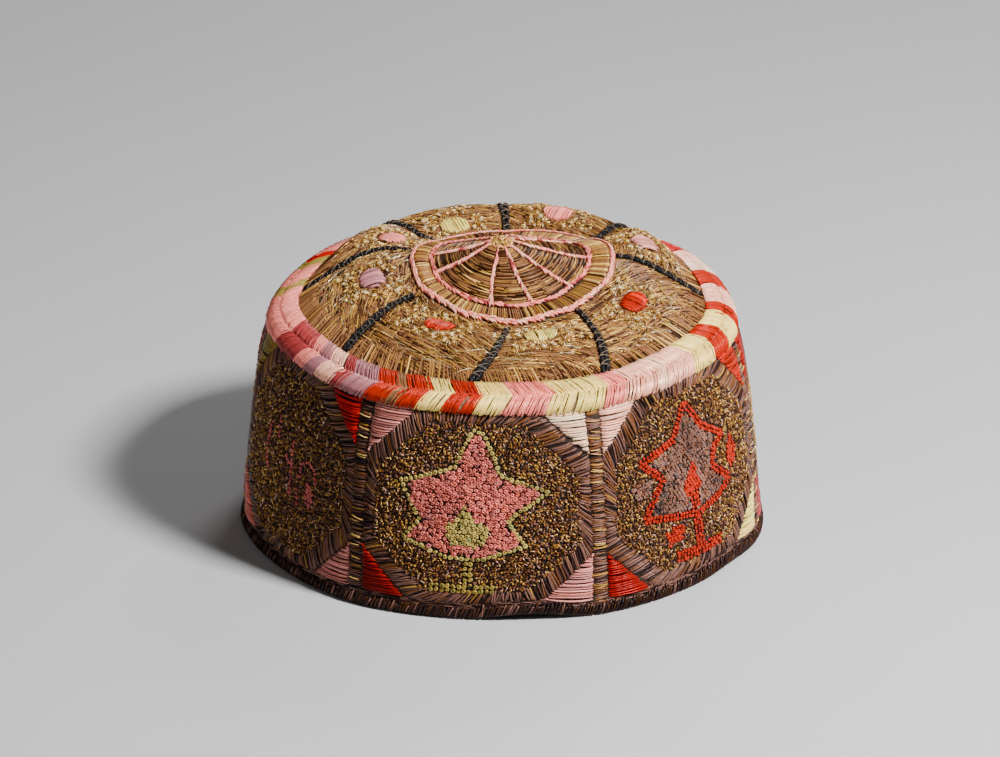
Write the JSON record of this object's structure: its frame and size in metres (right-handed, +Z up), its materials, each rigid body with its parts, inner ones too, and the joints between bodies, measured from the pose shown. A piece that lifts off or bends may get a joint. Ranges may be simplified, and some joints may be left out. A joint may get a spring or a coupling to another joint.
{
  "type": "embroidered skullcap",
  "caption": "Round embroidered skullcap with an upright side band, a low domed crown with a padded rosette, a herringbone edge braid and an open hollow for the head.",
  "frame": {"origin": "under the middle of the cap, at the level of the hem it stands on", "axes": "+Z up through the crown, -Y the front that the picture shows, +X to the right of someone who looks at the front"},
  "size_m": [0.1828, 0.1824, 0.1002],
  "materials": {
    "band_silk": "matt knotted silk",
    "hem_silk": "dark overcast silk",
    "crown_thread": "couched silk and metal-wrapped thread",
    "braid_silk": "glossy silk floss in herringbone",
    "rosette_silk": "padded satin stitch with pink chain stitch",
    "cord_silk": "black couched silk cord"
  },
  "bodies": {
    "root": {"side_band": "band_silk", "hem_binding": "hem_silk", "crown": "crown_thread", "edge_braid": "braid_silk", "crown_rosette": "rosette_silk", "seam_cord_1": "cord_silk", "seam_cord_2": "cord_silk", "seam_cord_3": "cord_silk", "seam_cord_4": "cord_silk", "seam_cord_5": "cord_silk", "seam_cord_6": "cord_silk", "seam_cord_7": "cord_silk", "seam_cord_8": "cord_silk"}
  },
  "joints": []
}
